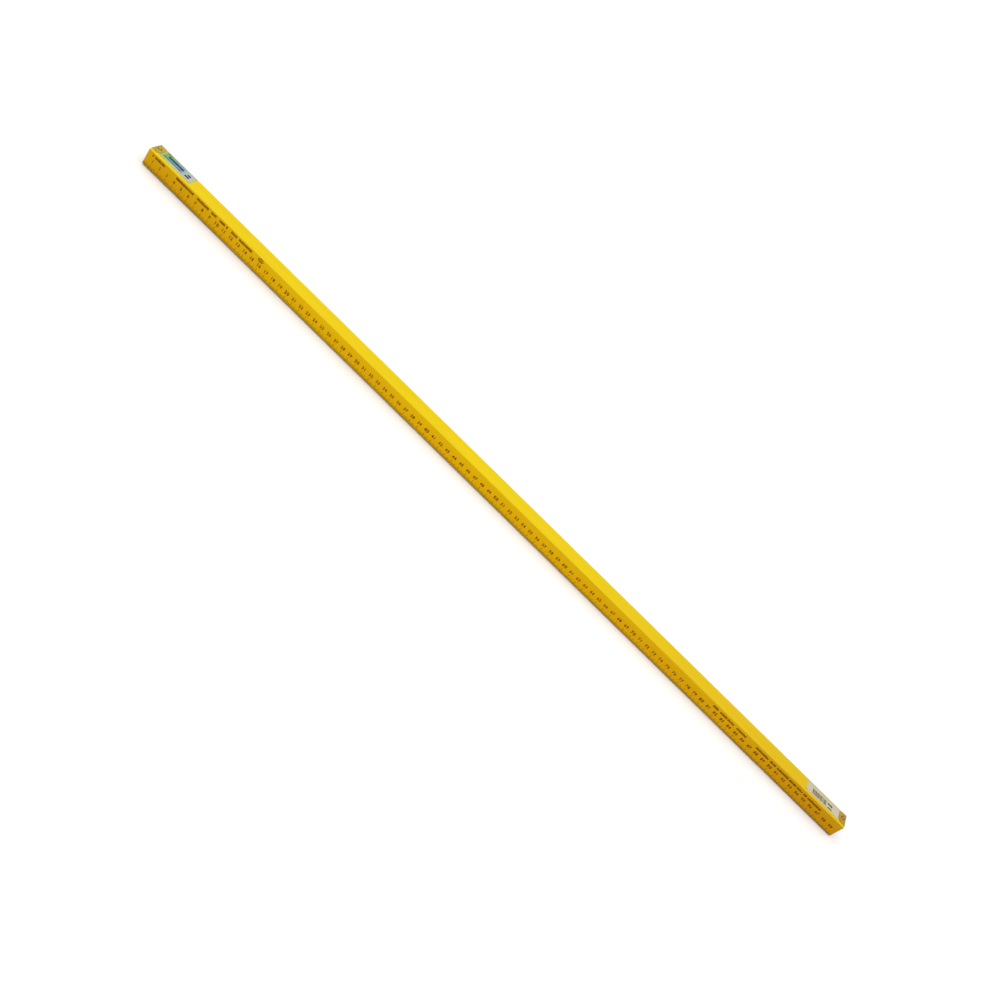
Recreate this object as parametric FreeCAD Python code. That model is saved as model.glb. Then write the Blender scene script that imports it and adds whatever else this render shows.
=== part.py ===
"""A one-metre wooden measuring rod with brass end caps.

Millimetres. +X runs along the scale, from the zero end to the hundred end. The printed face looks
towards -Y and the face with the two labels looks up, +Z. The origin is the bottom centre of the
bounding box, so the rod lies on z = 0, on the heads of its two lower brads. The printed scale and
the lacquer are finishes of the wood and have no solids of their own.
"""

import FreeCAD, Part

import math
import os

X, Y, Z = FreeCAD.Vector(1, 0, 0), FreeCAD.Vector(0, 1, 0), FreeCAD.Vector(0, 0, 1)

# The wood. Its length is the rod's, less the two end plates.
ROD_LENGTH = 1000.0  # over the end plates: the length that the scale divides
ROD_WIDTH = 20.0  # printed face to back face
ROD_HEIGHT = 20.0  # label face to underside
EDGE_RADIUS = 0.8  # easing of every arris

# The end caps, each a strip folded over the end of the wood onto its top and its underside.
SHEET = 0.4
FLAP_LENGTH = 9.5  # from the end plate's outer face to the flap's tip
CAP_FRONT_MARGIN = 3.5  # wood left bare beside the strip, towards the printed face
CAP_BACK_MARGIN = 1.0
FLAP_CORNER = 2.5  # 45 degree clip of the flap's two free corners

# The brads, one through each flap.
BRAD_INSET = 5.0  # from the end plate's outer face to the brad's axis
BRAD_SHANK_DIAMETER = 1.4
BRAD_SHANK_LENGTH = 7.0  # under the head, with the point
BRAD_POINT_LENGTH = 1.5
BRAD_HEAD_DIAMETER = 3.2
BRAD_HEAD_HEIGHT = 0.5
BRAD_HEAD_RIM = 0.12  # the upright edge under the dome
FLAP_HOLE_CLEARANCE = 0.05  # radial, around the shank; the wood grips the shank with none

# The two labels on the top face, one next to each cap.
LABEL_THICKNESS = 0.1
LABEL_FRONT_MARGIN = 3.5  # wood left bare beside a label, towards the printed face
LABEL_BACK_MARGIN = 1.0
LABEL_CORNER_RADIUS = 1.5
LABEL_GAP = 0.8  # between a flap's tip and its label
COLOUR_LABEL_LENGTH = 42.0
STOCK_LABEL_LENGTH = 47.0

# Places that follow from the sizes above.
ROD_END = ROD_LENGTH / 2
WOOD_BOTTOM = SHEET + BRAD_HEAD_HEIGHT
WOOD_TOP = WOOD_BOTTOM + ROD_HEIGHT
CAP_FRONT = CAP_FRONT_MARGIN - ROD_WIDTH / 2
CAP_BACK = ROD_WIDTH / 2 - CAP_BACK_MARGIN
CAP_MIDDLE = (CAP_FRONT + CAP_BACK) / 2
BRAD_X = ROD_END - BRAD_INSET
LABEL_FRONT = LABEL_FRONT_MARGIN - ROD_WIDTH / 2
LABEL_BACK = ROD_WIDTH / 2 - LABEL_BACK_MARGIN

ENDS = {"zero": -1, "hundred": 1}
SIDES = {"bottom": -1, "top": 1}


def at_end(shape, end):
    """A shape made for the hundred end, or its mirror image for the zero end."""
    return shape if end > 0 else shape.mirror(FreeCAD.Vector(0, 0, 0), X)


def brad():
    """A brad on the Z axis, its head's underside at z = 0 and its point down."""
    shank, head = BRAD_SHANK_DIAMETER / 2, BRAD_HEAD_DIAMETER / 2
    dome = BRAD_HEAD_HEIGHT - BRAD_HEAD_RIM
    dome_radius = (head**2 + dome**2) / (2 * dome)
    half_angle = math.asin(head / dome_radius) / 2
    dome_middle = FreeCAD.Vector(
        dome_radius * math.sin(half_angle),
        0,
        BRAD_HEAD_HEIGHT - dome_radius * (1 - math.cos(half_angle)),
    )
    corners = [
        FreeCAD.Vector(0, 0, BRAD_HEAD_HEIGHT),
        FreeCAD.Vector(0, 0, -BRAD_SHANK_LENGTH),
        FreeCAD.Vector(shank, 0, BRAD_POINT_LENGTH - BRAD_SHANK_LENGTH),
        FreeCAD.Vector(shank, 0, 0),
        FreeCAD.Vector(head, 0, 0),
        FreeCAD.Vector(head, 0, BRAD_HEAD_RIM),
    ]
    edges = [Part.makeLine(a, b) for a, b in zip(corners, corners[1:])]
    edges.append(Part.Arc(corners[-1], dome_middle, corners[0]).toShape())
    half_section = Part.Face(Part.Wire(edges))
    return half_section.revolve(FreeCAD.Vector(0, 0, 0), Z, 360)


def placed_brad(end, side):
    """A brad in its flap, its head on the flap's outer face."""
    shape = brad()
    if side < 0:
        shape.rotate(FreeCAD.Vector(0, 0, 0), X, 180)
    flap_face = WOOD_TOP + SHEET if side > 0 else WOOD_BOTTOM - SHEET
    shape.translate(FreeCAD.Vector(end * BRAD_X, CAP_MIDDLE, flap_face))
    return shape


def wood_rod():
    """The stick, with eased arrises and a hole that each brad's shank fills."""
    size = FreeCAD.Vector(ROD_LENGTH - 2 * SHEET, ROD_WIDTH, ROD_HEIGHT)
    corner = FreeCAD.Vector(-size.x / 2, -size.y / 2, WOOD_BOTTOM)
    block = Part.makeBox(size.x, size.y, size.z, corner)
    stick = block.makeFillet(EDGE_RADIUS, block.Edges)
    brads = [placed_brad(end, side) for end in ENDS.values() for side in SIDES.values()]
    return stick.cut(brads)


def strip_section():
    """The folded strip's outline in the XZ plane, for the hundred end."""
    tip, bend = ROD_END - FLAP_LENGTH, EDGE_RADIUS + SHEET
    outer = Part.makeBox(
        FLAP_LENGTH,
        CAP_BACK - CAP_FRONT,
        ROD_HEIGHT + 2 * SHEET,
        FreeCAD.Vector(tip, CAP_FRONT, WOOD_BOTTOM - SHEET),
    )
    inner = Part.makeBox(
        FLAP_LENGTH - SHEET,
        CAP_BACK - CAP_FRONT,
        ROD_HEIGHT,
        FreeCAD.Vector(tip, CAP_FRONT, WOOD_BOTTOM),
    )
    return rounded_at_end(outer, ROD_END, bend).cut(rounded_at_end(inner, ROD_END - SHEET, EDGE_RADIUS))


def rounded_at_end(block, x, radius):
    """The block with its two edges along Y at x rounded."""
    edges = [e for e in block.Edges if all(abs(v.X - x) < 1e-6 for v in e.Vertexes)]
    along_y = [e for e in edges if abs(e.Vertexes[0].Y - e.Vertexes[1].Y) > 1e-6]
    return block.makeFillet(radius, along_y)


def clipped_flaps(strip):
    """The strip with the two free corners of each flap clipped."""
    tip = ROD_END - FLAP_LENGTH
    upright = [
        e
        for e in strip.Edges
        if all(abs(v.X - tip) < 1e-6 for v in e.Vertexes)
        and abs(e.Vertexes[0].Z - e.Vertexes[-1].Z) > 1e-6
    ]
    return strip.makeChamfer(FLAP_CORNER, upright)


def end_cap(end):
    """One folded strip: an end plate and a flap on the top and on the underside."""
    strip = clipped_flaps(strip_section())
    radius = BRAD_SHANK_DIAMETER / 2 + FLAP_HOLE_CLEARANCE
    foot = FreeCAD.Vector(BRAD_X, CAP_MIDDLE, 0)
    strip = strip.cut(Part.makeCylinder(radius, WOOD_TOP + 2 * SHEET, foot, Z))
    return at_end(strip, end)


def label(length, end):
    """A thin rectangle with round corners, on the top face next to one cap."""
    start = ROD_END - FLAP_LENGTH - LABEL_GAP - length
    corner = FreeCAD.Vector(start, LABEL_FRONT, WOOD_TOP)
    sheet = Part.makeBox(length, LABEL_BACK - LABEL_FRONT, LABEL_THICKNESS, corner)
    upright = [e for e in sheet.Edges if abs(e.Vertexes[0].Z - e.Vertexes[1].Z) > 1e-6]
    return at_end(sheet.makeFillet(LABEL_CORNER_RADIUS, upright), end)


def pieces():
    """Every piece of the rod, by its node's name."""
    made = {"wood_rod": wood_rod()}
    for end_name, end in ENDS.items():
        made[f"{end_name}_end_cap"] = end_cap(end)
        for side_name, side in SIDES.items():
            made[f"{end_name}_{side_name}_brad"] = placed_brad(end, side)
    made["colour_label"] = label(COLOUR_LABEL_LENGTH, ENDS["zero"])
    made["stock_label"] = label(STOCK_LABEL_LENGTH, ENDS["hundred"])
    return made


os.makedirs("parts", exist_ok=True)
for node, shape in pieces().items():
    shape.exportStep(f"parts/{node}.step")
    box = shape.BoundBox
    print(
        f"{node}: {len(shape.Solids)} solid, valid {shape.isValid()}, {shape.Volume:.2f} mm3, "
        f"x {box.XMin:.2f} {box.XMax:.2f}, y {box.YMin:.2f} {box.YMax:.2f}, z {box.ZMin:.2f} {box.ZMax:.2f}"
    )
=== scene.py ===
import math
import random

import bmesh
import bpy
from mathutils import Matrix, Quaternion, Vector, noise


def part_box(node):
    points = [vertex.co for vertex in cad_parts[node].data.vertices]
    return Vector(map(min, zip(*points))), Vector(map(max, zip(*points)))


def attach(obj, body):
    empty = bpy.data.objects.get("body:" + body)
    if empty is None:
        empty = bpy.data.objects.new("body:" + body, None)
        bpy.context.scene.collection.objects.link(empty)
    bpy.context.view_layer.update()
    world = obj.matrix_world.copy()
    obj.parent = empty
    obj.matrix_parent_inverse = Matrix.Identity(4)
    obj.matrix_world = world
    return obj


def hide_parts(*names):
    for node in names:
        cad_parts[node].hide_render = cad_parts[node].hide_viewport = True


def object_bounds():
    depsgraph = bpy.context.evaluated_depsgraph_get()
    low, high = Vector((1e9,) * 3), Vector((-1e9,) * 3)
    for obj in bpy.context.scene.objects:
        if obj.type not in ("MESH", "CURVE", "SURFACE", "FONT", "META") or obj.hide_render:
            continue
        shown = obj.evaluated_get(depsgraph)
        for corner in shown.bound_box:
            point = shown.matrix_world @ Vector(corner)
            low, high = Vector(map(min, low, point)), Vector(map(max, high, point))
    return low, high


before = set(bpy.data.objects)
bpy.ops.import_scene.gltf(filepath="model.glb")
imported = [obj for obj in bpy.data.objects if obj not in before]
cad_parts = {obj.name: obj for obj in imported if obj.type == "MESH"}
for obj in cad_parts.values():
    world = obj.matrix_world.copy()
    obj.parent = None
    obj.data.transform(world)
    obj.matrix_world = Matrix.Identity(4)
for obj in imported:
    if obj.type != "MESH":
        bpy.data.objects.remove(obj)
cad_low, cad_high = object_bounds()

# A one-metre measuring rod: a lacquered stick, printed on its front face, with a nailed brass
# strip over each end and two labels on top. All sizes are metres.
MM = 0.001
MERGE = 1e-7  # points closer than this are one
wood_low, wood_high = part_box("wood_rod")

# The stick.
ARRIS = 0.8 * MM  # radius of its eased arrises
ARRIS_SEGMENTS = 5
RING_GAP = 1.25 * MM  # between the rings of points along it
FLAT_LOOP = 0.3 * MM  # from an arris to the first loop on the flat beside it
RUB_DEPTH = 0.07 * MM  # how far handling has eaten into an arris
RUB_LENGTH = 9 * MM
DINGS = 11  # knocks on each arris
DING_DEPTH = (0.08 * MM, 0.26 * MM)
DING_REACH = (1.6 * MM, 4.5 * MM)
FOOT_SHADE = 1.5 * MM  # how far painted shade reaches up from the underside
CREVICE_SHADE = 0.45 * MM  # width of the painted shade along a brass strip
ON_THE_FLAT = 0.02  # share of an arris's radius within which a point takes no wear
RUB_GAIN = 1.6  # how soon wear reaches its most, from a flat to the crest of an arris
RUB_APART = (7.0, 13.0)  # keeps the wear of one arris unlike another's
DING_SEED = 11
END_SHADE_FROM = 0.33  # from the middle, where painted shade starts to deepen the lacquer towards both ends

# The printing, measured up from the stick's underside and along from the zero end.
INK = 0.02 * MM  # thickness of a printed film
PRINT_DRIFT = -0.0014  # the print runs a little off parallel, rising towards the zero end
TICKS = {1: (0.32 * MM, 3.1 * MM), 5: (0.32 * MM, 4.7 * MM), 10: (0.36 * MM, 6.0 * MM)}
NUMERAL_MIDDLE = 10.05 * MM
NUMERAL_HEIGHT = 3.7 * MM
DECADE_HEIGHT = 4.2 * MM
DIGIT_PITCH = 0.76  # of the digit's height, from one digit to the next
DIGIT_WIDTH = 0.94  # of the letterform's own width
DIGIT_WEIGHT = 0.038  # how much the strokes are thickened
BLOCK_WIDTH = (0.5 * MM, 1.2 * MM)
BLOCK_GAP = 0.3 * MM
BLOCK_HEIGHTS = (0.8, 1.0, 1.0, 1.0)  # of the line's height
SMALL_PRINT_SEED = 5
# Runs of plain blocks stand for the small print, as readings in centimetres.
LEFT_RUNS = ((0.7, 0.85), (1.05, 2.35), (4.0, 6.4), (6.9, 8.55), (8.95, 9.65), (10.1, 10.85),
             (11.05, 11.2), (11.75, 12.55), (12.85, 14.65))
LEFT_MIDDLE, LEFT_HEIGHT = 16.0 * MM, 2.8 * MM
RIGHT_RUNS = ((81.2, 81.95), (82.25, 83.2), (83.3, 84.2), (84.6, 86.0), (87.5, 89.3), (89.6, 90.4),
              (90.6, 92.25), (92.4, 93.35), (93.5, 94.3), (94.5, 94.95), (95.1, 97.0))
RIGHT_MIDDLE, RIGHT_HEIGHT = 15.8 * MM, 2.5 * MM
OVAL_READING = 15.9
OVAL_SIZE = Vector((7.2 * MM, 0, 4.4 * MM))
OVAL_LINE = 0.7 * MM
OVAL_SEGMENTS = 40
OVAL_BARS = ((-0.2, 0.5), (0.0, 0.7), (0.2, 0.5))  # each bar's place and height, of the oval's
FADED_FROM, FADED_TO = 38 * MM, 28 * MM  # from the zero end, where the numerals grow faint

# The brass strips and their nails.
STRIP_GRID = 0.5 * MM
BEND_STEPS = 6
FLAP_CORNER = 2.5 * MM
RIM_ROUND = 0.07 * MM
DIMPLE_DEPTH = 0.13 * MM
DIMPLE_REACH = 3.4 * MM
FLAP_WAVE = 0.05 * MM
WAVES_PER_METRE = 320
WAVES_APART = 0.01  # keeps the upper flap's waves unlike the lower's
WAVE_CLEAR = 0.6  # of DIMPLE_REACH, round the nail, where a flap lies flat
SKIN_SHARE = 0.6  # of the sheet's thickness, past which a point is on its outer skin
PLATE_RUB = 0.55  # wear of the end plate
PLATE_RUB_REACH = 1.4  # millimetres behind the plate's face over which that wear fades out
NAIL_SHADE_REACH = 1.2 * MM  # how far painted shade reaches past a nail's head
SHARP_RIM = math.radians(60)
NAIL_STEPS = 40
NAIL_RIM = 0.12 * MM
NAIL_SHANK = 0.7 * MM
NAIL_POINT = 1.5 * MM
DOME_STEPS = 6
HEAD_EASE = 0.05 * MM
SHARP_HEAD = math.radians(40)
STRUCK_AT = 0.86  # of the dome's height, where the hammer has flattened it
STRUCK_SLOPE = 0.16
STRUCK_TURN = 2.1  # radians by which each end turns that slope

# The labels.
LABEL_CORNER = 1.5 * MM
LABEL_GRID = 1.0 * MM
PAPER = 0.08 * MM
CURL_REACH = 5 * MM
CURL_HEIGHT = 0.22 * MM
CORNER_SEGMENTS = 6
# The coloured label's panel, in from the label's edges.
PANEL_START, PANEL_END, PANEL_FRONT, PANEL_BACK = 1.5 * MM, 4.5 * MM, 3.4 * MM, 1.8 * MM
PANEL_SOFT = (0.9 * MM, 0.7 * MM)
# What is printed on the labels, each as start, end, front and back in millimetres from the corner
# with the least X and Y.
NAME_BAR = (6.2, 26.8, 8.3, 11.0)
SMALL_LINE = (9.2, 27.2, 4.9, 6.1)
MARKS = ((32.6, 33.9, 8.4, 11.0), (34.0, 36.6, 8.4, 11.0),
         (31.2, 34.0, 4.7, 7.3), (34.1, 36.9, 4.7, 7.3))
RULES = ((2.4, 8.2, 13.0, 14.0), (8.7, 28.0, 13.3, 13.75), (2.6, 9.4, 4.9, 6.2))
BARS = (8.6, 28.4, 2.3, 9.8)
BAR_WIDTHS = (0.2, 0.3, 0.4, 0.6)
BAR_GAPS = (0.2, 0.3, 0.4)
STOCK_LINES = ((30.4, 37.0, 6.9, 9.3), (30.8, 36.8, 2.3, 3.9))
COLOUR_LABEL_SEED, STOCK_LABEL_SEED = 3, 8

# Colours, in linear red, green and blue. A tint multiplies what is under it.
LACQUER = (0.74, 0.545, 0.001)
LACQUER_END_SHADE = (0.63, 0.41, 0.001)  # painted shade: darker and more orange towards the hundred end
LACQUER_THICK = (0.675, 0.46, 0.001)
LACQUER_SHEEN = (1.0, 0.82, 0.1)
# Painted shade: the faces off the top are deeper and more orange than the top.
OFF_TOP_SHADE_TINT = (0.985, 0.82, 1.0)
# Painted shade: the sides darken towards the bottom.
LOWER_SHADE_TINT = (1.0, 0.91, 1.0)
# Painted shade: off the top, the lacquer deepens towards both ends.
END_SHADE_TINT = (0.85, 0.78, 1.0)
GRAIN = (0.58, 0.31, 0.002)
PORE = (0.36, 0.18, 0.003)
BARE_WOOD = (0.70, 0.45, 0.05)
# Painted shade along the foot, the ends, the back arris and the brass strips.
EDGE_SHADE = (0.27, 0.16, 0.01)
BRASS = (0.665, 0.505, 0.08)
BRASS_TARNISHED = (0.45, 0.31, 0.037)
BRASS_LINE = (0.33, 0.23, 0.045)
BRASS_RUBBED = (0.84, 0.65, 0.25)
BRASS_DARKER_END_TINT = (0.86, 0.73, 0.75)
# Painted shade round the nails.
NAIL_SHADE = (0.07, 0.04, 0.01)
NAIL = (0.50, 0.32, 0.09)
NAIL_TARNISHED = (0.24, 0.14, 0.035)
NAIL_STRUCK = (0.90, 0.70, 0.34)
BORDER_TINT = (1.0, 0.92, 0.55)
COLOUR_FLECK = (0.7, 0.7, 0.66)
STOCK_EDGE = (0.475, 0.435, 0.22)
STOCK_PAPER = (0.48, 0.435, 0.34)
STOCK_FLECK = (0.58, 0.54, 0.41)
STOCK_SMUDGE = (0.44, 0.39, 0.30)
FLOOR = (0.88, 0.88, 0.88)
FLOOR_CLOUD = (0.86, 0.86, 0.86)
PANEL_COLOURS = (  # on the coloured label, by the share of its length
    (0.04, (0.14, 0.30, 0.10)),
    (0.18, (0.12, 0.32, 0.31)),
    (0.40, (0.12, 0.26, 0.37)),
    (0.62, (0.17, 0.26, 0.41)),
    (0.78, (0.26, 0.39, 0.40)),
    (1.0, (0.43, 0.43, 0.46)),
)
BORDER_COLOURS = (
    (0.0, (0.35, 0.48, 0.10)),
    (0.35, (0.45, 0.48, 0.24)),
    (1.0, (0.42, 0.43, 0.29)),
)
# Inks, each as its fresh and its rubbed tone.
TICK_INK = ((0.05, 0.022, 0.001), (0.22, 0.10, 0.002))
NUMERAL_INK = ((0.12, 0.010, 0.001), (0.36, 0.15, 0.002))
SMALL_INK = ((0.125, 0.010, 0.001), (0.25, 0.075, 0.002))
NAVY_INK = ((0.004, 0.012, 0.045), (0.02, 0.07, 0.11))
GREEN_INK = ((0.02, 0.12, 0.05), (0.07, 0.22, 0.10))
BAR_INK = ((0.045, 0.032, 0.022), (0.19, 0.16, 0.12))
DARK_INK = ((0.012, 0.007, 0.01), (0.09, 0.07, 0.06))

# The view.
CAMERA_AIM = Vector((4.35 * MM, -6.9 * MM, 0))  # from the middle of the stick
CAMERA_DISTANCE = 1.158
CAMERA_AZIMUTH = math.radians(-2.157)
CAMERA_ELEVATION = math.radians(34.973)
CAMERA_ROLL = math.radians(45.636)
CAMERA_LENS = 40.277
FLOOR_SIZE = 80.0
SKIRTING_LIGHT = 0.3
CEILING_LIGHT = 1.25
KEY_STRENGTH = 0.8
KEY_SPREAD = math.radians(70)
KEY_FROM = Vector((-0.25, -0.3, 1))
CAMERA_CLIP = (0.01, 200.0)


# ---- Node helpers ----

def add(tree, kind, sockets=None, **settings):
    """A node of that kind, its sockets set to values or fed by other nodes' sockets."""
    made = tree.nodes.new("ShaderNode" + kind)
    for name, value in settings.items():
        setattr(made, name, value)
    for name, value in (sockets or {}).items():
        if isinstance(value, bpy.types.NodeSocket):
            tree.links.new(value, made.inputs[name])
        else:
            made.inputs[name].default_value = value
    return made


def sum_up(tree, operation, *values):
    """The result of one sum of values or sockets."""
    return add(tree, "Math", dict(enumerate(values)), operation=operation).outputs[0]


def fade(tree, value, start, end, low=0.0, high=1.0):
    """low where value is at start, high where it is at end, smoothly between."""
    sockets = {"Value": value, "From Min": start, "From Max": end, "To Min": low, "To Max": high}
    return add(tree, "MapRange", sockets, interpolation_type="SMOOTHSTEP").outputs["Result"]


def opaque(colour):
    """A colour of three numbers with its fourth, or a socket as it is."""
    return (*colour, 1) if isinstance(colour, tuple) else colour


def paint_over(tree, mask, under, over, mode="MIX"):
    """The colour over laid on the colour under, by mask."""
    sockets = {0: mask, 6: opaque(under), 7: opaque(over)}
    return add(tree, "Mix", sockets, data_type="RGBA", blend_type=mode).outputs[2]


def colours_along(tree, value, stops):
    """A run of colours: stops are (place from 0 to 1, colour)."""
    ramp = add(tree, "ValToRGB", {"Fac": value})
    elements = ramp.color_ramp.elements
    elements.remove(elements[1])
    elements[0].position, elements[0].color = stops[0][0], opaque(stops[0][1])
    for place, colour in stops[1:]:
        elements.new(place).color = opaque(colour)
    return ramp.outputs["Color"]


def own_place(tree):
    """The point's own X, Y and Z sockets."""
    split = add(tree, "SeparateXYZ", {"Vector": add(tree, "TexCoord").outputs["Object"]})
    return split.outputs["X"], split.outputs["Y"], split.outputs["Z"]


def new_group(name, inputs, outputs):
    """An empty shader group with number sockets of those names."""
    group = bpy.data.node_groups.new(name, "ShaderNodeTree")
    for label, value in inputs.items():
        socket = group.interface.new_socket(label, in_out="INPUT", socket_type="NodeSocketFloat")
        socket.default_value = value
    for label in outputs:
        group.interface.new_socket(label, in_out="OUTPUT", socket_type="NodeSocketFloat")
    return group, group.nodes.new("NodeGroupInput"), group.nodes.new("NodeGroupOutput")


def placed(tree, group, **values):
    """The group as a node in a material, its inputs set by name, with _ for a space."""
    made = tree.nodes.new("ShaderNodeGroup")
    made.node_tree = group
    for label, value in values.items():
        made.inputs[label.replace("_", " ")].default_value = value
    return made


def new_material(name, **constants):
    """A material with one Principled shader, and its plain values."""
    material = bpy.data.materials.new(name)
    material.use_nodes = True
    tree = material.node_tree
    tree.nodes.clear()
    shader = add(tree, "BsdfPrincipled")
    add(tree, "OutputMaterial", {"Surface": shader.outputs["BSDF"]})
    for label, value in constants.items():
        shader.inputs[label.replace("_", " ")].default_value = value
    return material, tree, shader


def feed(tree, shader, colour, rough):
    """The shader's colour and roughness taken from those sockets."""
    tree.links.new(colour, shader.inputs["Base Color"])
    tree.links.new(rough, shader.inputs["Roughness"])


def raise_from(tree, shader, height, strength, distance):
    """A bump on the shader's normal."""
    bump = add(tree, "Bump", {"Height": height, "Strength": strength, "Distance": distance})
    tree.links.new(bump.outputs["Normal"], shader.inputs["Normal"])


# ---- Effects that more than one finish uses ----

def make_streaks():
    """Long streaks along X: wood grain, or the lines of rolled and rubbed metal."""
    group, given, out = new_group(
        "streaks", {"Along": 12.0, "Across": 1200.0, "Detail": 4.0}, ["Mask"]
    )
    stretch = add(group, "CombineXYZ", {"X": given.outputs["Along"], "Y": given.outputs["Across"],
                                        "Z": given.outputs["Across"]})
    place = add(group, "TexCoord").outputs["Object"]
    scaled = add(group, "VectorMath", {0: place, 1: stretch.outputs[0]}, operation="MULTIPLY")
    grain = add(group, "TexNoise", {"Vector": scaled.outputs[0], "Scale": 1.0, "Roughness": 0.6,
                                    "Detail": given.outputs["Detail"], "Distortion": 0.35})
    group.links.new(grain.outputs["Fac"], out.inputs["Mask"])
    return group


def make_blotches():
    """Soft patches, such as uneven lacquer, tarnish or handling."""
    group, given, out = new_group(
        "blotches", {"Per Metre": 40.0, "Low": 0.4, "High": 0.65}, ["Mask"]
    )
    place = add(group, "TexCoord").outputs["Object"]
    patch = add(group, "TexNoise", {"Vector": place, "Scale": given.outputs["Per Metre"],
                                    "Detail": 5.0, "Roughness": 0.58, "Distortion": 0.4})
    mask = fade(group, patch.outputs["Fac"], given.outputs["Low"], given.outputs["High"])
    group.links.new(mask, out.inputs["Mask"])
    return group


def make_rubbed_edges():
    """Broken wear along the edges that a piece's rubbed attribute marks."""
    group, given, out = new_group("rubbed edges", {"Per Metre": 300.0, "Amount": 0.5}, ["Mask"])
    edge = add(group, "Attribute", attribute_name="rubbed").outputs["Fac"]
    place = add(group, "TexCoord").outputs["Object"]
    patch = add(group, "TexNoise", {"Vector": place, "Scale": given.outputs["Per Metre"],
                                    "Detail": 4.0, "Roughness": 0.65})
    keep = sum_up(group, "SUBTRACT", 1.0, given.outputs["Amount"])
    worn = sum_up(group, "SUBTRACT", edge, keep)
    spread = sum_up(group, "ADD", worn, sum_up(group, "SUBTRACT", patch.outputs["Fac"], 0.5))
    group.links.new(fade(group, spread, 0.0, 0.35), out.inputs["Mask"])
    return group


def make_fibres():
    """The felted tone of paper, and its height."""
    group, given, out = new_group("fibres", {"Per Metre": 2600.0}, ["Tone", "Height"])
    place = add(group, "TexCoord").outputs["Object"]
    felt = add(group, "TexNoise", {"Vector": place, "Scale": given.outputs["Per Metre"],
                                   "Detail": 6.0, "Roughness": 0.7, "Distortion": 1.6})
    cloud = add(group, "TexNoise", {"Vector": place, "Scale": 160.0, "Detail": 3.0})
    tone = sum_up(group, "MULTIPLY", felt.outputs["Fac"], cloud.outputs["Fac"])
    group.links.new(tone, out.inputs["Tone"])
    group.links.new(felt.outputs["Fac"], out.inputs["Height"])
    return group


streaks = make_streaks()
blotches = make_blotches()
rubbed_edges = make_rubbed_edges()
fibres = make_fibres()


# ---- Finishes ----

def inside(tree, value, start, end, soft):
    """1 between start and end, fading over soft at both."""
    entering = fade(tree, value, start - soft, start + soft)
    leaving = fade(tree, value, end + soft, end - soft)
    return sum_up(tree, "MULTIPLY", entering, leaving)


def beside_strip(tree, from_middle, y):
    """The painted shade in the crevice round a brass strip, which follows the clipped corners of
    its flaps.
    """
    low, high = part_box("hundred_end_cap")
    within_length = inside(tree, from_middle, low.x - CREVICE_SHADE, wood_high.x, CREVICE_SHADE / 2)
    within_width = inside(tree, y, low.y - CREVICE_SHADE, high.y + CREVICE_SHADE, CREVICE_SHADE / 2)
    crevice = sum_up(tree, "MULTIPLY", within_length, within_width)
    from_tip = sum_up(tree, "SUBTRACT", from_middle, low.x)
    clip_outer, clip_inner = FLAP_CORNER - CREVICE_SHADE * 2.2, FLAP_CORNER - CREVICE_SHADE * 0.8
    for start, end in ((low.y, y), (y, high.y)):
        from_clip = sum_up(tree, "ADD", from_tip, sum_up(tree, "SUBTRACT", end, start))
        within_clip = fade(tree, from_clip, clip_outer, clip_inner)
        crevice = sum_up(tree, "MULTIPLY", crevice, within_clip)
    return crevice


def soiled(tree, from_middle, y, z):
    """Where painted shade darkens the lacquer: the foot of each side, the ends, the back arris and
    the crevices.
    """
    foot = fade(tree, z, wood_low.z + FOOT_SHADE, wood_low.z + ARRIS * 0.3, 0.0, 0.7)
    across = sum_up(tree, "ABSOLUTE", y)
    at_side = fade(tree, across, wood_high.y - FOOT_SHADE * 2, wood_high.y - ARRIS, 0.1)
    foot = sum_up(tree, "MULTIPLY", foot, at_side)
    near_end, at_end = wood_high.x - ARRIS * 1.3, wood_high.x - ARRIS * 0.3
    ends = fade(tree, from_middle, near_end, at_end, 0.0, 0.6)
    at_back = fade(tree, y, wood_high.y - ARRIS * 1.2, wood_high.y - ARRIS * 0.2, 0.0, 0.6)
    at_top = fade(tree, z, wood_high.z - ARRIS * 1.6, wood_high.z - ARRIS * 0.9)
    most = beside_strip(tree, from_middle, y)
    for place in (foot, ends, sum_up(tree, "MULTIPLY", at_back, at_top)):
        most = sum_up(tree, "MAXIMUM", most, place)
    patches = placed(tree, blotches, Per_Metre=180.0, Low=0.25, High=0.55)
    return sum_up(tree, "MULTIPLY", most, fade(tree, patches.outputs["Mask"], 0.0, 1.0, 0.45, 1.0))


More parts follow.
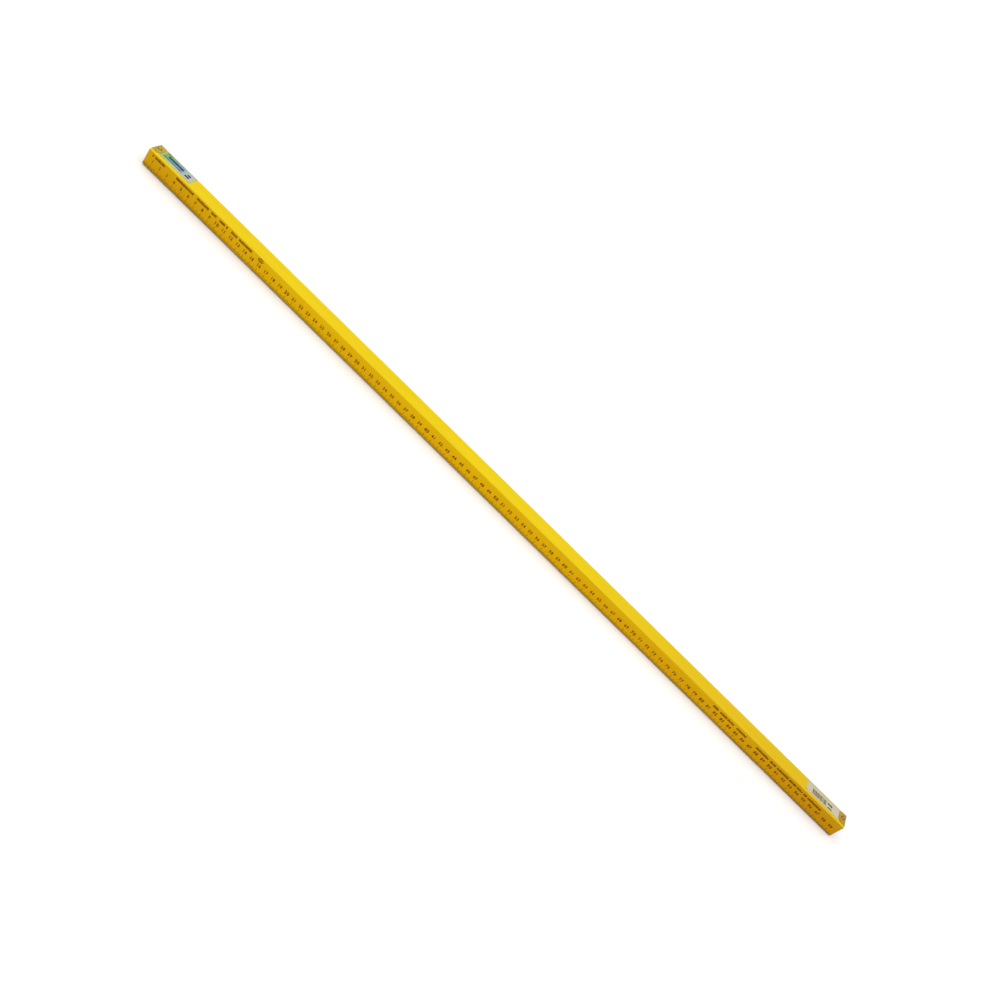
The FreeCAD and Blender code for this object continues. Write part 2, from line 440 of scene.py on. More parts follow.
def lacquered_wood():
    """Yellow lacquer over fine straight grain, deepened by painted shade off the top face and
    towards both ends.
    """
    material, tree, shader = new_material(
        "lacquered_wood", Coat_Weight=0.02, Coat_Roughness=0.15, Specular_IOR_Level=0.08,
        Specular_Tint=opaque(LACQUER_SHEEN),
    )
    x, y, z = own_place(tree)
    # Painted shade: the lacquer darkens towards the hundred end.
    along = fade(tree, x, 0.1 * wood_low.x, wood_high.x)
    colour = paint_over(tree, along, LACQUER, LACQUER_END_SHADE)
    thick = placed(tree, blotches, Per_Metre=6.0, Low=0.35, High=0.7)
    patchy = sum_up(tree, "MULTIPLY", thick.outputs["Mask"], 0.4)
    colour = paint_over(tree, patchy, colour, LACQUER_THICK)
    # painted shade: every face but the top is tinted deeper
    off_top_shade = fade(tree, z, wood_high.z - ARRIS * 0.3, wood_high.z - ARRIS)
    colour = paint_over(tree, off_top_shade, colour, OFF_TOP_SHADE_TINT, "MULTIPLY")
    # painted shade: darker lower down the sides
    lower = fade(tree, z, wood_high.z - 2 * MM, wood_low.z + 6 * MM)
    colour = paint_over(tree, lower, colour, LOWER_SHADE_TINT, "MULTIPLY")
    from_middle = sum_up(tree, "ABSOLUTE", x)
    # painted shade: off the top, darker towards both ends
    end_fade = sum_up(tree, "MULTIPLY", off_top_shade, fade(tree, from_middle, END_SHADE_FROM, wood_high.x))
    colour = paint_over(tree, end_fade, colour, END_SHADE_TINT, "MULTIPLY")
    grain = placed(tree, streaks, Along=7.0, Across=900.0, Detail=5.0)
    dark_grain = fade(tree, grain.outputs["Mask"], 0.5, 0.72, 0.0, 0.4)
    colour = paint_over(tree, dark_grain, colour, GRAIN)
    pores = placed(tree, streaks, Along=150.0, Across=5200.0, Detail=2.0)
    pore = fade(tree, pores.outputs["Mask"], 0.66, 0.76, 0.0, 0.4)
    colour = paint_over(tree, pore, colour, PORE)
    worn = placed(tree, rubbed_edges, Per_Metre=260.0, Amount=0.3)
    bare = sum_up(tree, "MULTIPLY", worn.outputs["Mask"], 0.5)
    colour = paint_over(tree, bare, colour, BARE_WOOD)
    # painted shade along the edges and round the brass strips
    colour = paint_over(tree, soiled(tree, from_middle, y, z), colour, EDGE_SHADE)
    smears = placed(tree, blotches, Per_Metre=55.0, Low=0.45, High=0.75)
    rough = fade(tree, smears.outputs["Mask"], 0.0, 1.0, 0.3, 0.44)
    feed(tree, shader, colour, rough)
    relief = sum_up(tree, "SUBTRACT", sum_up(tree, "MULTIPLY", grain.outputs["Mask"], 0.5), pore)
    raise_from(tree, shader, relief, 0.6, 0.06 * MM)
    return material


def ink(name, tones, wear, end_fade=0.0):
    """A printed film, rubbed from its first tone to its second, and fainter at the zero end."""
    material, tree, shader = new_material(name, Roughness=0.5, Specular_IOR_Level=0.03)
    patch = placed(tree, blotches, Per_Metre=900.0, Low=0.5, High=0.8)
    broad = placed(tree, blotches, Per_Metre=24.0, Low=0.35, High=0.8)
    rubbed = sum_up(tree, "ADD", patch.outputs["Mask"], broad.outputs["Mask"])
    mask = sum_up(tree, "MULTIPLY", rubbed, wear)
    if end_fade:
        x, _, _ = own_place(tree)
        near_end = fade(tree, x, wood_low.x + FADED_FROM, wood_low.x + FADED_TO, 0.0, end_fade)
        mask = sum_up(tree, "MAXIMUM", mask, near_end)
    tree.links.new(paint_over(tree, mask, *tones), shader.inputs["Base Color"])
    raise_from(tree, shader, patch.outputs["Mask"], 0.3, 0.01 * MM)
    return material


def strip_brass():
    """Rolled brass sheet, tarnished in patches, bright along its rim, with painted shade round the
    nail.
    """
    material, tree, shader = new_material("strip_brass", Metallic=1.0)
    tarnish = placed(tree, blotches, Per_Metre=260.0, Low=0.36, High=0.7)
    colour = paint_over(tree, tarnish.outputs["Mask"], BRASS, BRASS_TARNISHED)
    lines = placed(tree, streaks, Along=60.0, Across=7000.0, Detail=3.0)
    line = fade(tree, lines.outputs["Mask"], 0.52, 0.7, 0.0, 0.4)
    colour = paint_over(tree, line, colour, BRASS_LINE)
    worn = placed(tree, rubbed_edges, Per_Metre=900.0, Amount=0.25)
    colour = paint_over(tree, worn.outputs["Mask"], colour, BRASS_RUBBED)
    x, _, _ = own_place(tree)
    # darker towards the hundred end
    darker_end = fade(tree, x, wood_low.x / 2, wood_high.x / 2)
    colour = paint_over(tree, darker_end, colour, BRASS_DARKER_END_TINT, "MULTIPLY")
    # painted shade in the dimple round the nail, which is also made rougher
    nail_shade = add(tree, "Attribute", attribute_name="nail_shade").outputs["Fac"]
    colour = paint_over(tree, nail_shade, colour, NAIL_SHADE)
    rough = fade(tree, tarnish.outputs["Mask"], 0.0, 1.0, 0.3, 0.46)
    rough = sum_up(tree, "ADD", rough, sum_up(tree, "MULTIPLY", nail_shade, 0.3))
    feed(tree, shader, colour, rough)
    raise_from(tree, shader, lines.outputs["Mask"], 0.35, 0.01 * MM)
    return material


def nail_brass():
    """Drawn brass, darker than the strip, with a struck bright crown."""
    material, tree, shader = new_material("nail_brass", Metallic=1.0)
    tarnish = placed(tree, blotches, Per_Metre=700.0, Low=0.35, High=0.65)
    colour = paint_over(tree, tarnish.outputs["Mask"], NAIL, NAIL_TARNISHED)
    worn = placed(tree, rubbed_edges, Per_Metre=1500.0, Amount=0.55)
    colour = paint_over(tree, worn.outputs["Mask"], colour, NAIL_STRUCK)
    rough = fade(tree, worn.outputs["Mask"], 0.0, 1.0, 0.42, 0.22)
    feed(tree, shader, colour, rough)
    raise_from(tree, shader, tarnish.outputs["Mask"], 0.4, 0.01 * MM)
    return material


def colour_label_paper():
    """Glossy printed paper: a panel that runs from green to pale blue, in a pale border."""
    material, tree, shader = new_material(
        "colour_label_paper", Coat_Weight=0.15, Coat_Roughness=0.1, Specular_IOR_Level=0.3
    )
    low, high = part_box("colour_label")
    x, y, _ = own_place(tree)
    along = fade(tree, x, low.x, high.x)
    panel = colours_along(tree, along, PANEL_COLOURS)
    border = colours_along(tree, along, BORDER_COLOURS)
    yellower = fade(tree, y, low.y + 6 * MM, low.y + 1 * MM)
    border = paint_over(tree, yellower, border, BORDER_TINT, "MULTIPLY")
    lengthwise = inside(tree, x, low.x + PANEL_START, high.x - PANEL_END, PANEL_SOFT[0])
    crosswise = inside(tree, y, low.y + PANEL_FRONT, high.y - PANEL_BACK, PANEL_SOFT[1])
    colour = paint_over(tree, sum_up(tree, "MULTIPLY", lengthwise, crosswise), border, panel)
    felt = placed(tree, fibres)
    fleck = fade(tree, felt.outputs["Tone"], 0.2, 0.36, 0.0, 0.12)
    colour = paint_over(tree, fleck, colour, COLOUR_FLECK)
    scuffs = placed(tree, blotches, Per_Metre=330.0, Low=0.55, High=0.8)
    rough = fade(tree, scuffs.outputs["Mask"], 0.0, 1.0, 0.28, 0.5)
    feed(tree, shader, colour, rough)
    raise_from(tree, shader, felt.outputs["Height"], 0.15, 0.01 * MM)
    return material


def stock_label_paper():
    """Matt off-white paper, a little yellowed towards its long edges."""
    material, tree, shader = new_material("stock_label_paper", Specular_IOR_Level=0.2)
    low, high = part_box("stock_label")
    _, y, _ = own_place(tree)
    middle = inside(tree, y, low.y + 3.5 * MM, high.y - 5 * MM, 2.5 * MM)
    colour = paint_over(tree, middle, STOCK_EDGE, STOCK_PAPER)
    felt = placed(tree, fibres)
    fleck = fade(tree, felt.outputs["Tone"], 0.18, 0.36, 0.0, 0.3)
    colour = paint_over(tree, fleck, colour, STOCK_FLECK)
    smudge = placed(tree, blotches, Per_Metre=120.0, Low=0.52, High=0.8)
    colour = paint_over(tree, sum_up(tree, "MULTIPLY", smudge.outputs["Mask"], 0.3), colour,
                        STOCK_SMUDGE)
    rough = fade(tree, felt.outputs["Height"], 0.3, 0.7, 0.55, 0.8)
    feed(tree, shader, colour, rough)
    raise_from(tree, shader, felt.outputs["Height"], 0.35, 0.02 * MM)
    return material


def floor_paint():
    """A plain pale studio floor."""
    material, tree, shader = new_material("floor_paint", Roughness=0.9, Specular_IOR_Level=0.1)
    cloud = placed(tree, blotches, Per_Metre=3.0, Low=0.3, High=0.7)
    colour = paint_over(tree, cloud.outputs["Mask"], FLOOR, FLOOR_CLOUD)
    tree.links.new(colour, shader.inputs["Base Color"])
    return material


# ---- Mesh helpers ----

def finished(name, bm, material, slot, *nodes, smooth=True):
    """The mesh as a piece of the rod, standing for those CAD nodes."""
    mesh = bpy.data.meshes.new(name)
    for face in bm.faces:
        face.smooth = smooth
    bm.to_mesh(mesh)
    bm.free()
    mesh.materials.append(material)
    piece = bpy.data.objects.new(name, mesh)
    bpy.context.scene.collection.objects.link(piece)
    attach(piece, "root")
    if nodes:
        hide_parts(*nodes)
    return piece


def block(bm, low, high):
    """A box between two corners."""
    size = high - low
    place = Matrix.Translation((low + high) / 2) @ Matrix.Diagonal((*size, 1))
    return bmesh.ops.create_cube(bm, size=1, matrix=place)["verts"]


def cut_at(bm, point, normal, clear=False):
    """A row of edges where the plane meets the mesh, or the mesh past it removed."""
    everything = bm.verts[:] + bm.edges[:] + bm.faces[:]
    bmesh.ops.bisect_plane(
        bm, geom=everything, dist=MERGE, plane_co=point, plane_no=normal, clear_outer=clear
    )


def rounded(bm, edges, radius, segments):
    """Those edges rounded. Returns the new faces."""
    return bmesh.ops.bevel(
        bm, geom=edges, offset=radius, offset_type="OFFSET", segments=segments, profile=0.5,
        affect="EDGES", clamp_overlap=True, material=-1
    )["faces"]


def smooth_step(share):
    """0 to 1, level at both ends."""
    share = min(max(share, 0.0), 1.0)
    return share * share * (3 - 2 * share)


# ---- The stick ----

def stick():
    """The square stick, its arrises eased, worn and knocked."""
    low = wood_low + Vector((0, INK, 0))  # the front film reaches the CAD face
    high = wood_high
    bm = bmesh.new()
    block(bm, low, high)
    rounded(bm, bm.edges[:], ARRIS, ARRIS_SEGMENTS)
    inset = Vector((ARRIS + FLAT_LOOP,) * 3)
    for corner in (low + inset, high - inset):
        for normal in (Vector((1, 0, 0)), Vector((0, 1, 0)), Vector((0, 0, 1))):
            cut_at(bm, corner, normal)
    long_edges = [e for e in bm.edges if e.calc_length() > (high.x - low.x) / 2]
    cuts = round((high.x - low.x) / RING_GAP)
    bmesh.ops.subdivide_edges(bm, edges=long_edges, cuts=cuts, use_grid_fill=True)
    rubbed = bm.verts.layers.float.new("rubbed")
    chance = random.Random(DING_SEED)
    middle, half = (low + high) / 2, (high - low) / 2
    knocks = {
        (side_y, side_z): [
            (chance.uniform(low.x, high.x), chance.uniform(*DING_REACH),
             chance.uniform(*DING_DEPTH))
            for _ in range(DINGS)
        ]
        for side_y in (-1, 1)
        for side_z in (-1, 1)
    }
    for vert in bm.verts:
        away = vert.co - middle
        side_y = 1 if away.y > 0 else -1
        side_z = 1 if away.z > 0 else -1
        centre_y, centre_z = side_y * (half.y - ARRIS), side_z * (half.z - ARRIS)
        out_y, out_z = (away.y - centre_y) * side_y, (away.z - centre_z) * side_z
        if min(out_y, out_z) < ARRIS * ON_THE_FLAT:
            continue
        vert[rubbed] = min(1.0, RUB_GAIN * math.sin(2 * math.atan2(out_z, out_y)))
        spot = (vert.co.x / RUB_LENGTH, RUB_APART[0] * side_y, RUB_APART[1] * side_z)
        wave = noise.noise(Vector(spot))
        depth = RUB_DEPTH * max(0.0, 0.5 + wave)
        for place, reach, deep in knocks[side_y, side_z]:
            depth += deep * smooth_step(1 - abs(vert.co.x - place) / reach)
        inward = Vector((0, centre_y - away.y, centre_z - away.z)).normalized()
        vert.co += inward * depth * vert[rubbed]
    return finished("lacquered_stick", bm, lacquered_wood(), "lacquered_wood", "wood_rod")


# ---- The printing on the front face ----

def reading(centimetres):
    """The X of a reading on the scale, which counts from the zero end's outer face."""
    return cad_low.x + centimetres * 10 * MM


def printed_height(x, height):
    """How high something printed at that height stands at x, because the print drifts."""
    return wood_low.z + height + PRINT_DRIFT * x


def film(bm, left, right, foot, top):
    """A thin block of ink on the front face."""
    block(bm, Vector((left, wood_low.y, foot)), Vector((right, wood_low.y + INK, top)))


def ticks():
    """A tick at each millimetre, longer at each five and at each centimetre."""
    bm = bmesh.new()
    last = round((cad_high.x - cad_low.x) / MM)
    for millimetre in range(1, last):
        step = 10 if millimetre % 10 == 0 else 5 if millimetre % 5 == 0 else 1
        width, height = TICKS[step]
        x = reading(millimetre / 10)
        film(bm, x - width / 2, x + width / 2, wood_low.z + ARRIS, printed_height(x, height))
    return bm


def digit_shapes():
    """Each digit as a mesh one unit high and one thick, centred on the origin."""
    shapes = {}
    for digit in "0123456789":
        letterform = bpy.data.curves.new("digit", "FONT")
        letterform.body = digit
        letterform.resolution_u = 3
        letterform.offset = DIGIT_WEIGHT
        letterform.extrude = 0.5
        holder = bpy.data.objects.new("digit", letterform)
        shape = bpy.data.meshes.new_from_object(holder)
        bpy.data.objects.remove(holder)
        bpy.data.curves.remove(letterform)
        corners = [v.co for v in shape.vertices]
        low = Vector(min(c[i] for c in corners) for i in range(3))
        high = Vector(max(c[i] for c in corners) for i in range(3))
        height = high.y - low.y
        shape.transform(Matrix.Translation(-(low + high) / 2))
        shape.transform(Matrix.Diagonal((DIGIT_WIDTH / height, 1 / height, 1, 1)))
        shapes[digit] = shape
    return shapes


def numerals():
    """The centimetre numbers, each centred over its tick and standing towards the label face."""
    bm = bmesh.new()
    shapes = digit_shapes()
    standing = Matrix.Rotation(math.radians(90), 4, "X")
    centimetres = round((cad_high.x - cad_low.x) / (10 * MM))
    for number in range(1, centimetres):
        height = DECADE_HEIGHT if number % 10 == 0 else NUMERAL_HEIGHT
        digits = str(number)
        size = Matrix.Diagonal((height, height, INK, 1))
        for i, digit in enumerate(digits):
            x = reading(number) + (i - (len(digits) - 1) / 2) * DIGIT_PITCH * height
            middle = Vector((x, wood_low.y + INK / 2, printed_height(x, NUMERAL_MIDDLE)))
            shape = shapes[digit].copy()
            shape.transform(Matrix.Translation(middle) @ standing @ size)
            bm.from_mesh(shape)
            bpy.data.meshes.remove(shape)
    for shape in shapes.values():
        bpy.data.meshes.remove(shape)
    bmesh.ops.remove_doubles(bm, verts=bm.verts[:], dist=MERGE)
    bmesh.ops.recalc_face_normals(bm, faces=bm.faces[:])
    return bm


def blocks_in(start, end, chance, width=BLOCK_WIDTH, gap=BLOCK_GAP):
    """The ends of each block in a run of blocks that stands for a word."""
    places, x = [], start
    while x < end:
        wide = min(chance.uniform(*width), end - x)
        if wide > width[0] / 2:
            places.append((x, x + wide))
        x += wide + gap
    stretch = (end - start) / (places[-1][1] - start)
    return [(start + (a - start) * stretch, start + (b - start) * stretch) for a, b in places]


def small_print(runs, middle, height, chance):
    """Plain blocks for the small print over the numerals."""
    bm = bmesh.new()
    for start, end in runs:
        for left, right in blocks_in(reading(start), reading(end), chance):
            centre = printed_height((left + right) / 2, middle)
            tall = height * chance.choice(BLOCK_HEIGHTS)
            film(bm, left, right, centre - height / 2, centre - height / 2 + tall)
    return bm


def oval_mark(bm):
    """A plain oval ring with three bars in it, which ends the left-hand print."""
    x = reading(OVAL_READING)
    middle = Vector((x, wood_low.y, printed_height(x, LEFT_MIDDLE)))
    flat = Matrix.Rotation(math.radians(90), 4, "X")
    squash = Matrix.Diagonal((OVAL_SIZE.x, 1, OVAL_SIZE.z, 1))
    disc = bmesh.ops.create_circle(
        bm, cap_ends=True, segments=OVAL_SEGMENTS, radius=0.5,
        matrix=Matrix.Translation(middle) @ squash @ flat
    )["verts"]
    face = disc[0].link_faces[0]
    bmesh.ops.inset_region(
        bm, faces=[face], thickness=OVAL_LINE, use_even_offset=True, use_boundary=True
    )
    bmesh.ops.delete(bm, geom=[face], context="FACES_ONLY")
    ring = list({f for v in disc for f in v.link_faces})
    made = bmesh.ops.extrude_face_region(bm, geom=ring)["geom"]
    verts = [g for g in made if isinstance(g, bmesh.types.BMVert)]
    bmesh.ops.translate(bm, verts=verts, vec=(0, INK, 0))
    for share, tall in OVAL_BARS:
        left, foot = x + share * OVAL_SIZE.x - OVAL_LINE / 2, middle.z - tall * OVAL_SIZE.z / 2
        film(bm, left, left + OVAL_LINE, foot, foot + tall * OVAL_SIZE.z)
    bmesh.ops.recalc_face_normals(bm, faces=bm.faces[:])


def printing():
    """All the film on the front face."""
    tick_ink = ink("tick_ink", TICK_INK, 0.2)
    numeral_ink = ink("numeral_ink", NUMERAL_INK, 0.14, end_fade=0.75)
    small_ink = ink("small_print_ink", SMALL_INK, 0.2)
    finished("scale_ticks", ticks(), tick_ink, "print_ink", smooth=False)
    finished("scale_numerals", numerals(), numeral_ink, "print_ink", smooth=False)
    chance = random.Random(SMALL_PRINT_SEED)
    left = small_print(LEFT_RUNS, LEFT_MIDDLE, LEFT_HEIGHT, chance)
    oval_mark(left)
    finished("left_small_print", left, small_ink, "print_ink", smooth=False)
    right = small_print(RIGHT_RUNS, RIGHT_MIDDLE, RIGHT_HEIGHT, chance)
    finished("right_small_print", right, small_ink, "print_ink", smooth=False)


# ---- The brass strips ----

def extruded(bm, edges, step, count):
    """A row of edges drawn out by step, count times. Returns the last row."""
    for _ in range(count):
        made = bmesh.ops.extrude_edge_only(bm, edges=edges)["geom"]
        verts = {g for g in made if isinstance(g, bmesh.types.BMVert)}
        bmesh.ops.translate(bm, verts=list(verts), vec=step)
        edges = [g for g in made if isinstance(g, bmesh.types.BMEdge) and set(g.verts) <= verts]
    return edges


def bent(bm, edges, centre):
    """A row of edges carried a quarter turn round centre, about Y. Returns the last row."""
    row = list({v for e in edges for v in e.verts}) + edges
    made = bmesh.ops.spin(
        bm, geom=row, cent=centre, axis=(0, 1, 0), angle=math.radians(90), steps=BEND_STEPS,
        use_duplicate=False
    )
    return [g for g in made["geom_last"] if isinstance(g, bmesh.types.BMEdge)]


def folded_sheet(tip, plate, low_y, high_y):
    """The strip's inner skin at the hundred end: flap, bend, end plate, bend and flap."""
    bm = bmesh.new()
    fold = plate - ARRIS
    columns, rows = round((fold - tip) / STRIP_GRID), round((high_y - low_y) / STRIP_GRID)
    place = Matrix.Translation(((tip + fold) / 2, (low_y + high_y) / 2, wood_high.z))
    size = Matrix.Diagonal((fold - tip, high_y - low_y, 1, 1))
    bmesh.ops.create_grid(bm, x_segments=columns, y_segments=rows, size=0.5, matrix=place @ size)
    row = [e for e in bm.edges if all(v.co.x > fold - STRIP_GRID / 4 for v in e.verts)]
    row = bent(bm, row, (fold, 0, wood_high.z - ARRIS))
    drop = wood_high.z - wood_low.z - 2 * ARRIS
    steps = round(drop / STRIP_GRID)
    row = extruded(bm, row, Vector((0, 0, -drop / steps)), steps)
    row = bent(bm, row, (fold, 0, wood_low.z + ARRIS))
    extruded(bm, row, Vector((-(fold - tip) / columns, 0, 0)), columns)
    bmesh.ops.remove_doubles(bm, verts=bm.verts[:], dist=MERGE)
    cut_at(bm, Vector((tip + FLAP_CORNER, low_y, 0)), Vector((-1, -1, 0)), clear=True)
    cut_at(bm, Vector((tip + FLAP_CORNER, high_y, 0)), Vector((-1, 1, 0)), clear=True)
    return bm


def strip(end, sign):
    """The brass strip of one end, made at the hundred end and turned over for the zero end."""
    low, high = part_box(f"{end}_end_cap")
    outer, tip = max(abs(low.x), abs(high.x)), min(abs(low.x), abs(high.x))
    sheet = outer - wood_high.x
    bm = folded_sheet(tip, wood_high.x, low.y, high.y)
    top = max(bm.faces, key=lambda f: f.calc_center_median().z)
    if top.normal.z > 0:
        bmesh.ops.reverse_faces(bm, faces=bm.faces[:])
    bmesh.ops.solidify(bm, geom=bm.faces[:], thickness=sheet)
    bmesh.ops.recalc_face_normals(bm, faces=bm.faces[:])
    rims = [e for e in bm.edges if e.calc_face_angle(0) > SHARP_RIM]
    rubbed = bm.verts.layers.float.new("rubbed")
    nail_shade = bm.verts.layers.float.new("nail_shade")
    for face in rounded(bm, rims, RIM_ROUND, 2):
        for vert in face.verts:
            vert[rubbed] = 1.0
    nail_low, nail_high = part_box(f"{end}_top_brad")
    nail = (nail_low + nail_high) / 2
    nail.x = abs(nail.x)
    head = (nail_high.x - nail_low.x) / 2
    middle_z = (wood_low.z + wood_high.z) / 2
    for vert in bm.verts:
        if vert.co.x > wood_high.x - ARRIS:
            near_face = smooth_step(vert.co.x / MM - outer / MM + PLATE_RUB_REACH)
            vert[rubbed] = max(vert[rubbed], PLATE_RUB * near_face)
        from_nail = math.hypot(vert.co.x - nail.x, vert.co.y - nail.y)
        out = 1 if vert.co.z > middle_z else -1
        on_outer_skin = abs(vert.co.z - middle_z) > wood_high.z - middle_z + sheet * SKIN_SHARE
        if on_outer_skin and from_nail < DIMPLE_REACH:
            vert.co.z -= out * DIMPLE_DEPTH * smooth_step(1 - from_nail / DIMPLE_REACH)
            # painted shade round the nail's head
            vert[nail_shade] = smooth_step(1 - max(0.0, from_nail - head) / NAIL_SHADE_REACH)
        if vert.co.x < nail.x + head:
            spot = Vector((vert.co.x, vert.co.y, out * WAVES_APART)) * WAVES_PER_METRE
            wave = noise.noise(spot + Vector((sign, 0, 0)))
            share = smooth_step((nail.x + head - vert.co.x) / (nail.x + head - tip))
            clear_of_wood = abs(wave) * share * smooth_step(from_nail / DIMPLE_REACH - WAVE_CLEAR)
            vert.co.z += out * FLAP_WAVE * clear_of_wood
    if sign < 0:
        bmesh.ops.scale(bm, vec=(-1, 1, 1), verts=bm.verts[:])
        bmesh.ops.recalc_face_normals(bm, faces=bm.faces[:])
    return bm


# ---- The nails ----

def nail(node, side, turn):
    """A domed nail, its crown struck to a slight slope that faces turn."""
    low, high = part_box(node)
    head_radius = (high.x - low.x) / 2
    flap_face = wood_high.z if side > 0 else wood_low.z
    seat = abs((high.z if side > 0 else low.z) - flap_face)
    sheet = cad_high.x - wood_high.x
    dome_height = seat - sheet - NAIL_RIM
    length = high.z - low.z - (seat - sheet)
    sphere = (head_radius**2 + dome_height**2) / (2 * dome_height)
    half_angle = math.asin(head_radius / sphere)
    profile = [
        Vector((sphere * math.sin(half_angle * i / DOME_STEPS), 0,
                NAIL_RIM + dome_height - sphere * (1 - math.cos(half_angle * i / DOME_STEPS))))
        for i in range(DOME_STEPS + 1)
    ]
    profile += [Vector((head_radius, 0, 0)), Vector((NAIL_SHANK, 0, 0)),
                Vector((NAIL_SHANK, 0, NAIL_POINT - length)), Vector((0, 0, -length))]
    bm = bmesh.new()
    verts = [bm.verts.new(point) for point in profile]
    edges = [bm.edges.new(pair) for pair in zip(verts, verts[1:])]
    bmesh.ops.spin(
        bm, geom=verts + edges, cent=(0, 0, 0), axis=(0, 0, 1), angle=math.tau, steps=NAIL_STEPS,
        use_merge=True, use_duplicate=False
    )
    bmesh.ops.remove_doubles(bm, verts=bm.verts[:], dist=MERGE)
    bmesh.ops.recalc_face_normals(bm, faces=bm.faces[:])
    corners = [e for e in bm.edges if e.calc_face_angle(0) > SHARP_HEAD
               and all(v.co.z > -NAIL_RIM / 2 for v in e.verts)]
    rounded(bm, corners, HEAD_EASE, 2)
    rubbed = bm.verts.layers.float.new("rubbed")
    lean = Vector((math.sin(turn), math.cos(turn), 0)) * STRUCK_SLOPE
    for vert in bm.verts:
        struck = NAIL_RIM + dome_height * STRUCK_AT + lean.dot(vert.co)
        crown = smooth_step(1 - math.hypot(vert.co.x, vert.co.y) / head_radius)
        vert[rubbed] = crown if vert.co.z > 0 else 0.0
        vert.co.z = min(vert.co.z, struck)
    if side < 0:
        upside_down = Matrix.Rotation(math.pi, 3, "X")
        bmesh.ops.rotate(bm, cent=(0, 0, 0), matrix=upside_down, verts=bm.verts[:])
    middle = (low + high) / 2
    seat_z = flap_face + side * sheet
    bmesh.ops.translate(bm, vec=(middle.x, middle.y, seat_z), verts=bm.verts[:])
    return bm


def brasswork():
    """Both strips and the four nails."""
    strip_metal, nail_metal = strip_brass(), nail_brass()
    for end, sign in (("zero", -1), ("hundred", 1)):
        sheet = strip(end, sign)
        finished(f"{end}_brass_strip", sheet, strip_metal, "sheet_brass", f"{end}_end_cap")
        for place, side in (("top", 1), ("bottom", -1)):
            node = f"{end}_{place}_brad"
            bm = nail(node, side, STRUCK_TURN * sign + side)
            finished(f"{end}_{place}_nail", bm, nail_metal, "brad_brass", node)


# ---- The labels ----

def paper_sheet(node, curled):
    """A thin sheet with round corners, one corner a little lifted."""
    low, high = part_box(node)
    bm = bmesh.new()
    place = Matrix.Translation(((low.x + high.x) / 2, (low.y + high.y) / 2, low.z))
    size = Matrix.Diagonal((high.x - low.x, high.y - low.y, 1, 1))
    bmesh.ops.create_grid(bm, x_segments=1, y_segments=1, size=0.5, matrix=place @ size)
    bmesh.ops.bevel(
        bm, geom=bm.verts[:], offset=LABEL_CORNER, offset_type="OFFSET", segments=CORNER_SEGMENTS,
        profile=0.5, affect="VERTICES", material=-1
    )
    for axis, normal in ((0, Vector((1, 0, 0))), (1, Vector((0, 1, 0)))):
        for i in range(1, round((high[axis] - low[axis]) / LABEL_GRID)):
            cut_at(bm, low + normal * i * LABEL_GRID, normal)
    face = bm.faces[:][0]
    if face.normal.z > 0:
        bmesh.ops.reverse_faces(bm, faces=bm.faces[:])
    bmesh.ops.solidify(bm, geom=bm.faces[:], thickness=PAPER)
    bmesh.ops.recalc_face_normals(bm, faces=bm.faces[:])
    corner = Vector((high.x if curled[0] > 0 else low.x, high.y if curled[1] > 0 else low.y))
    for vert in bm.verts:
        near = 1 - (vert.co.xy - corner).length / CURL_REACH
        vert.co.z += CURL_HEIGHT * smooth_step(near) ** 2
    return bm


def print_block(bm, corner, start, end, front, back):
    """A film on a label, between those distances from the label's corner, in millimetres."""
    low = corner + Vector((start * MM, front * MM, PAPER))
    block(bm, low, corner + Vector((end * MM, back * MM, PAPER + INK)))


def print_line(bm, corner, line, chance, width=BLOCK_WIDTH, gap=BLOCK_GAP):
    """A run of blocks on a label."""
    start, end, front, back = line
    for left, right in blocks_in(start * MM, end * MM, chance, width, gap):
        print_block(bm, corner, left / MM, right / MM, front, back)


def colour_label_print():
    """A heavy navy bar where the label's name would be, smaller blocks under it, and four marks."""
    corner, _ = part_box("colour_label")
    chance = random.Random(COLOUR_LABEL_SEED)
    bm = bmesh.new()
    print_line(bm, corner, NAME_BAR, chance, (2.2 * MM, 3.4 * MM), 0.16 * MM)
    print_line(bm, corner, SMALL_LINE, chance, (0.8 * MM, 1.6 * MM), 0.4 * MM)
    for mark in MARKS:
        print_block(bm, corner, *mark)
    return bm


def colour_label_rules():
    """Dark green rules that edge the label's panel."""
    corner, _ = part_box("colour_label")
    bm = bmesh.new()
    for rule in RULES:
        print_block(bm, corner, *rule)
    return bm


def stock_label_print():
    """A row of plain bars of uneven width, and two lines of blocks beside it."""
    corner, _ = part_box("stock_label")
    chance = random.Random(STOCK_LABEL_SEED)
    bars, blocks = bmesh.new(), bmesh.new()
    start, end, front, back = BARS
    x = corner.x + start * MM
    while x < corner.x + end * MM:
        wide = chance.choice(BAR_WIDTHS) * MM
        place = (x - corner.x) / MM
        print_block(bars, corner, place, place + wide / MM, front, back)
        x += wide + chance.choice(BAR_GAPS) * MM
    for line in STOCK_LINES:
        print_line(blocks, corner, line, chance, gap=0.1 * MM)
    return bars, blocks


def labels():
    """Both labels and what is printed on them."""
    finished("colour_sticker", paper_sheet("colour_label", (1, -1)), colour_label_paper(),
             "printed_label", "colour_label")
    finished("stock_sticker", paper_sheet("stock_label", (-1, -1)), stock_label_paper(),
             "plain_label", "stock_label")
    navy = ink("label_navy_ink", NAVY_INK, 0.12)
    green = ink("label_green_ink", GREEN_INK, 0.2)
    grey = ink("label_bar_ink", BAR_INK, 0.3)
    dark = ink("label_dark_ink", DARK_INK, 0.2)
    finished("colour_sticker_print", colour_label_print(), navy, "print_ink", smooth=False)
    finished("colour_sticker_rules", colour_label_rules(), green, "print_ink", smooth=False)
    bars, blocks = stock_label_print()
    finished("stock_sticker_bars", bars, grey, "print_ink", smooth=False)
    finished("stock_sticker_blocks", blocks, dark, "print_ink", smooth=False)


# ---- Stage, light and camera ----

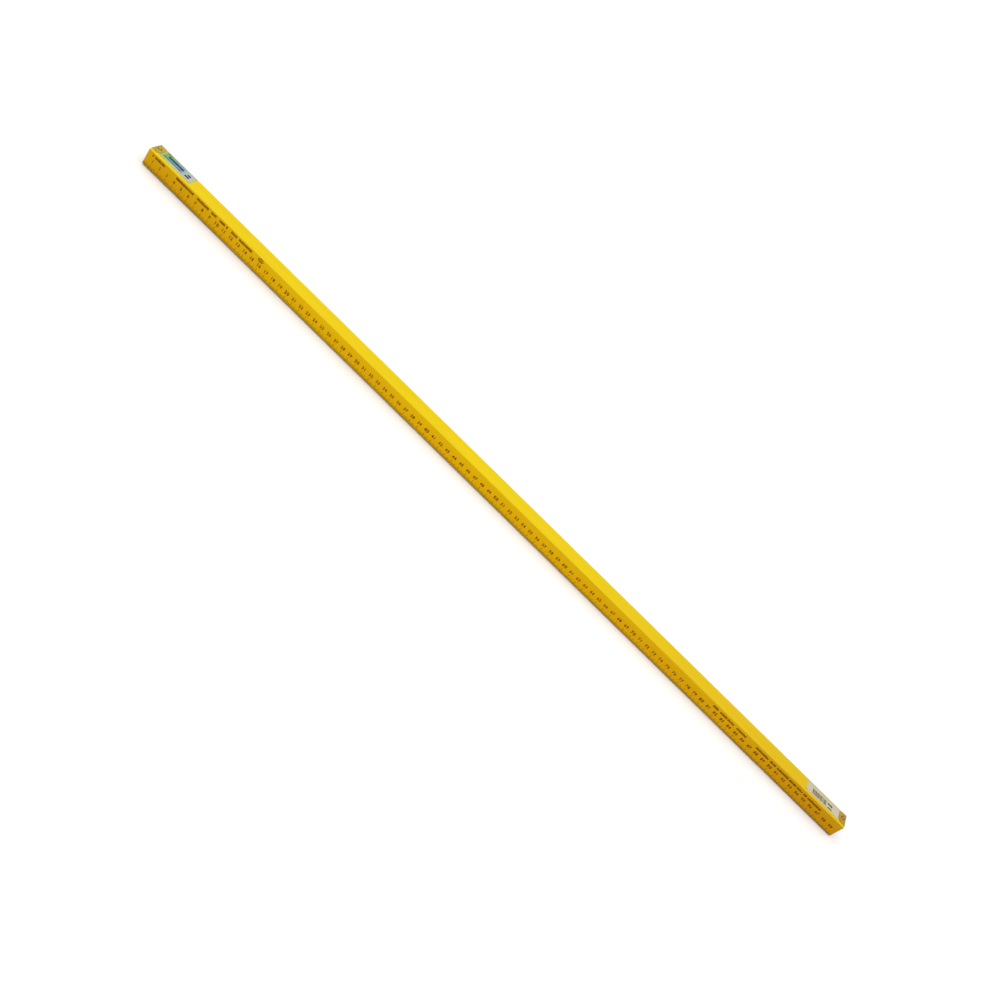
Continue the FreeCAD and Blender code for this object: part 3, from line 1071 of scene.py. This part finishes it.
def floor():
    """A wide pale floor under the rod."""
    bm = bmesh.new()
    bmesh.ops.create_grid(bm, x_segments=1, y_segments=1, size=FLOOR_SIZE / 2)
    mesh = bpy.data.meshes.new("floor")
    bm.to_mesh(mesh)
    bm.free()
    mesh.materials.append(floor_paint())
    ground = bpy.data.objects.new("floor", mesh)
    ground.location.z = cad_low.z
    bpy.context.scene.collection.objects.link(ground)


def studio_sky():
    """A white backdrop, in a room that lights from overhead and is grey at the skirting."""
    world = bpy.data.worlds.new("studio")
    world.use_nodes = True
    tree = world.node_tree
    direction = add(tree, "TexCoord").outputs["Generated"]
    height = add(tree, "SeparateXYZ", {"Vector": direction}).outputs["Z"]
    glow = fade(tree, height, -0.1, 1.0, SKIRTING_LIGHT, CEILING_LIGHT)
    seen = add(tree, "LightPath").outputs["Is Camera Ray"]
    shown = add(tree, "MapRange", {"Value": seen, "To Min": glow, "To Max": 1.0}).outputs["Result"]
    tree.links.new(shown, tree.nodes["Background"].inputs["Strength"])
    tree.nodes["Background"].inputs["Color"].default_value = (1, 1, 1, 1)
    bpy.context.scene.world = world


def lights():
    """The room, and one very soft key light from above and in front."""
    studio_sky()
    key = bpy.data.lights.new("key", "SUN")
    key.energy, key.angle = KEY_STRENGTH, KEY_SPREAD
    holder = bpy.data.objects.new("key", key)
    holder.rotation_mode = "QUATERNION"
    holder.rotation_quaternion = KEY_FROM.to_track_quat("Z", "Y")
    bpy.context.scene.collection.objects.link(holder)
    bpy.context.scene.view_settings.view_transform = "Standard"


def camera():
    """The camera, in front and above, rolled so that the rod runs from corner to corner."""
    middle = (wood_low + wood_high) / 2
    flat = math.cos(CAMERA_ELEVATION)
    back = Vector((math.sin(CAMERA_AZIMUTH) * flat, -math.cos(CAMERA_AZIMUTH) * flat,
                   math.sin(CAMERA_ELEVATION)))
    lens = bpy.data.cameras.new("camera")
    lens.lens = CAMERA_LENS
    lens.clip_start, lens.clip_end = CAMERA_CLIP
    view = bpy.data.objects.new("camera", lens)
    view.location = middle + CAMERA_AIM + back * CAMERA_DISTANCE
    view.rotation_mode = "QUATERNION"
    view.rotation_quaternion = back.to_track_quat("Z", "Y") @ Quaternion((0, 0, 1), CAMERA_ROLL)
    bpy.context.scene.collection.objects.link(view)
    bpy.context.scene.camera = view


camera()
lights()
floor()
stick()
printing()
brasswork()
labels()
